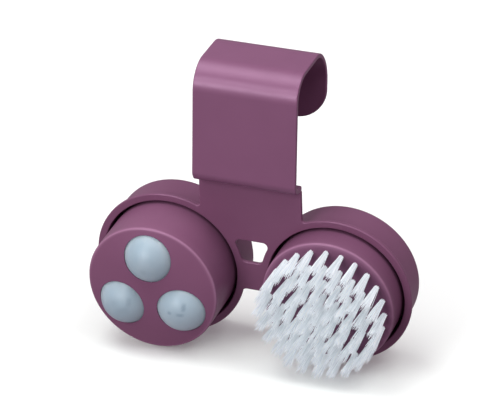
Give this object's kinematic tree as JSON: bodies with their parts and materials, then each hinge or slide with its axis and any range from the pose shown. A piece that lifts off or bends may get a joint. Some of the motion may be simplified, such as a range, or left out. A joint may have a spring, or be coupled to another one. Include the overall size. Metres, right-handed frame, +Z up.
{
  "type": "foot bath attachment holder",
  "caption": "Rim-hung plastic holder with round cups, carrying a clip-on massage head with roller balls and a clip-on brush head with bristle tufts for a foot bath.",
  "frame": {"origin": "middle of the box on the surface that the holder stands on", "axes": "+X to the right across both heads, +Y from the front with the heads to the back with the flap of the hook, +Z up along the flat front of the strap"},
  "size_m": [0.1464, 0.06, 0.1378],
  "materials": {
    "holder_plastic": "satin moulded",
    "head_plastic": "satin moulded",
    "inner_plastic": "as moulded",
    "ball_plastic": "cloudy",
    "bristle_nylon": "filaments",
    "ring_rubber": "moulded",
    "screw_steel": "zinc plated"
  },
  "bodies": {
    "holder": {"hook_strap": "holder_plastic", "yoke": "holder_plastic", "strap_screws": "screw_steel", "left_peg": "inner_plastic", "right_peg": "inner_plastic", "peg_screws": "screw_steel"},
    "left_ring": {"left_grip_ring": "ring_rubber"},
    "right_ring": {"right_grip_ring": "ring_rubber"},
    "massage_head": {"massage_drum": "head_plastic", "ball_carrier": "inner_plastic", "carrier_screws": "screw_steel", "massage_base": "inner_plastic", "massage_base_screws": "screw_steel"},
    "ball_top": {"massage_ball_top": "ball_plastic"},
    "ball_left": {"massage_ball_left": "ball_plastic"},
    "ball_right": {"massage_ball_right": "ball_plastic"},
    "brush_head": {"brush_drum": "head_plastic", "brush_base": "inner_plastic", "brush_base_screws": "screw_steel", "tuft_middle": "bristle_nylon", "tuft_ring_1": "bristle_nylon", "tuft_ring_2": "bristle_nylon", "tuft_ring_3": "bristle_nylon", "tuft_ring_4": "bristle_nylon"}
  },
  "joints": [
    {"name": "massage_spin", "type": "hinge", "parent": "holder", "child": "left_ring", "pos_m": [-0.0385, 0.00254, 0.03448], "axis": [0, -0.9938, -0.1115], "continuous": true},
    {"name": "massage_pull", "type": "slide", "parent": "left_ring", "child": "massage_head", "axis": [0, -0.9938, -0.1115], "range_m": [0, 0.02]},
    {"name": "brush_spin", "type": "hinge", "parent": "holder", "child": "right_ring", "pos_m": [0.0385, 0.00254, 0.03448], "axis": [0, -0.9938, -0.1115], "continuous": true},
    {"name": "brush_pull", "type": "slide", "parent": "right_ring", "child": "brush_head", "axis": [0, -0.9938, -0.1115], "range_m": [0, 0.02]},
    {"name": "ball_top_roll", "type": "hinge", "parent": "massage_head", "child": "ball_top", "pos_m": [-0.03903, -0.01774, 0.0476], "axis": [-0.9994, 0.0039, -0.0347], "continuous": true},
    {"name": "ball_left_roll", "type": "hinge", "parent": "massage_head", "child": "ball_left", "pos_m": [-0.05148, -0.01513, 0.02434], "axis": [0.5299, 0.0945, -0.8428], "continuous": true},
    {"name": "ball_right_roll", "type": "hinge", "parent": "massage_head", "child": "ball_right", "pos_m": [-0.02499, -0.01523, 0.02526], "axis": [0.4695, -0.0984, 0.8774], "continuous": true}
  ]
}
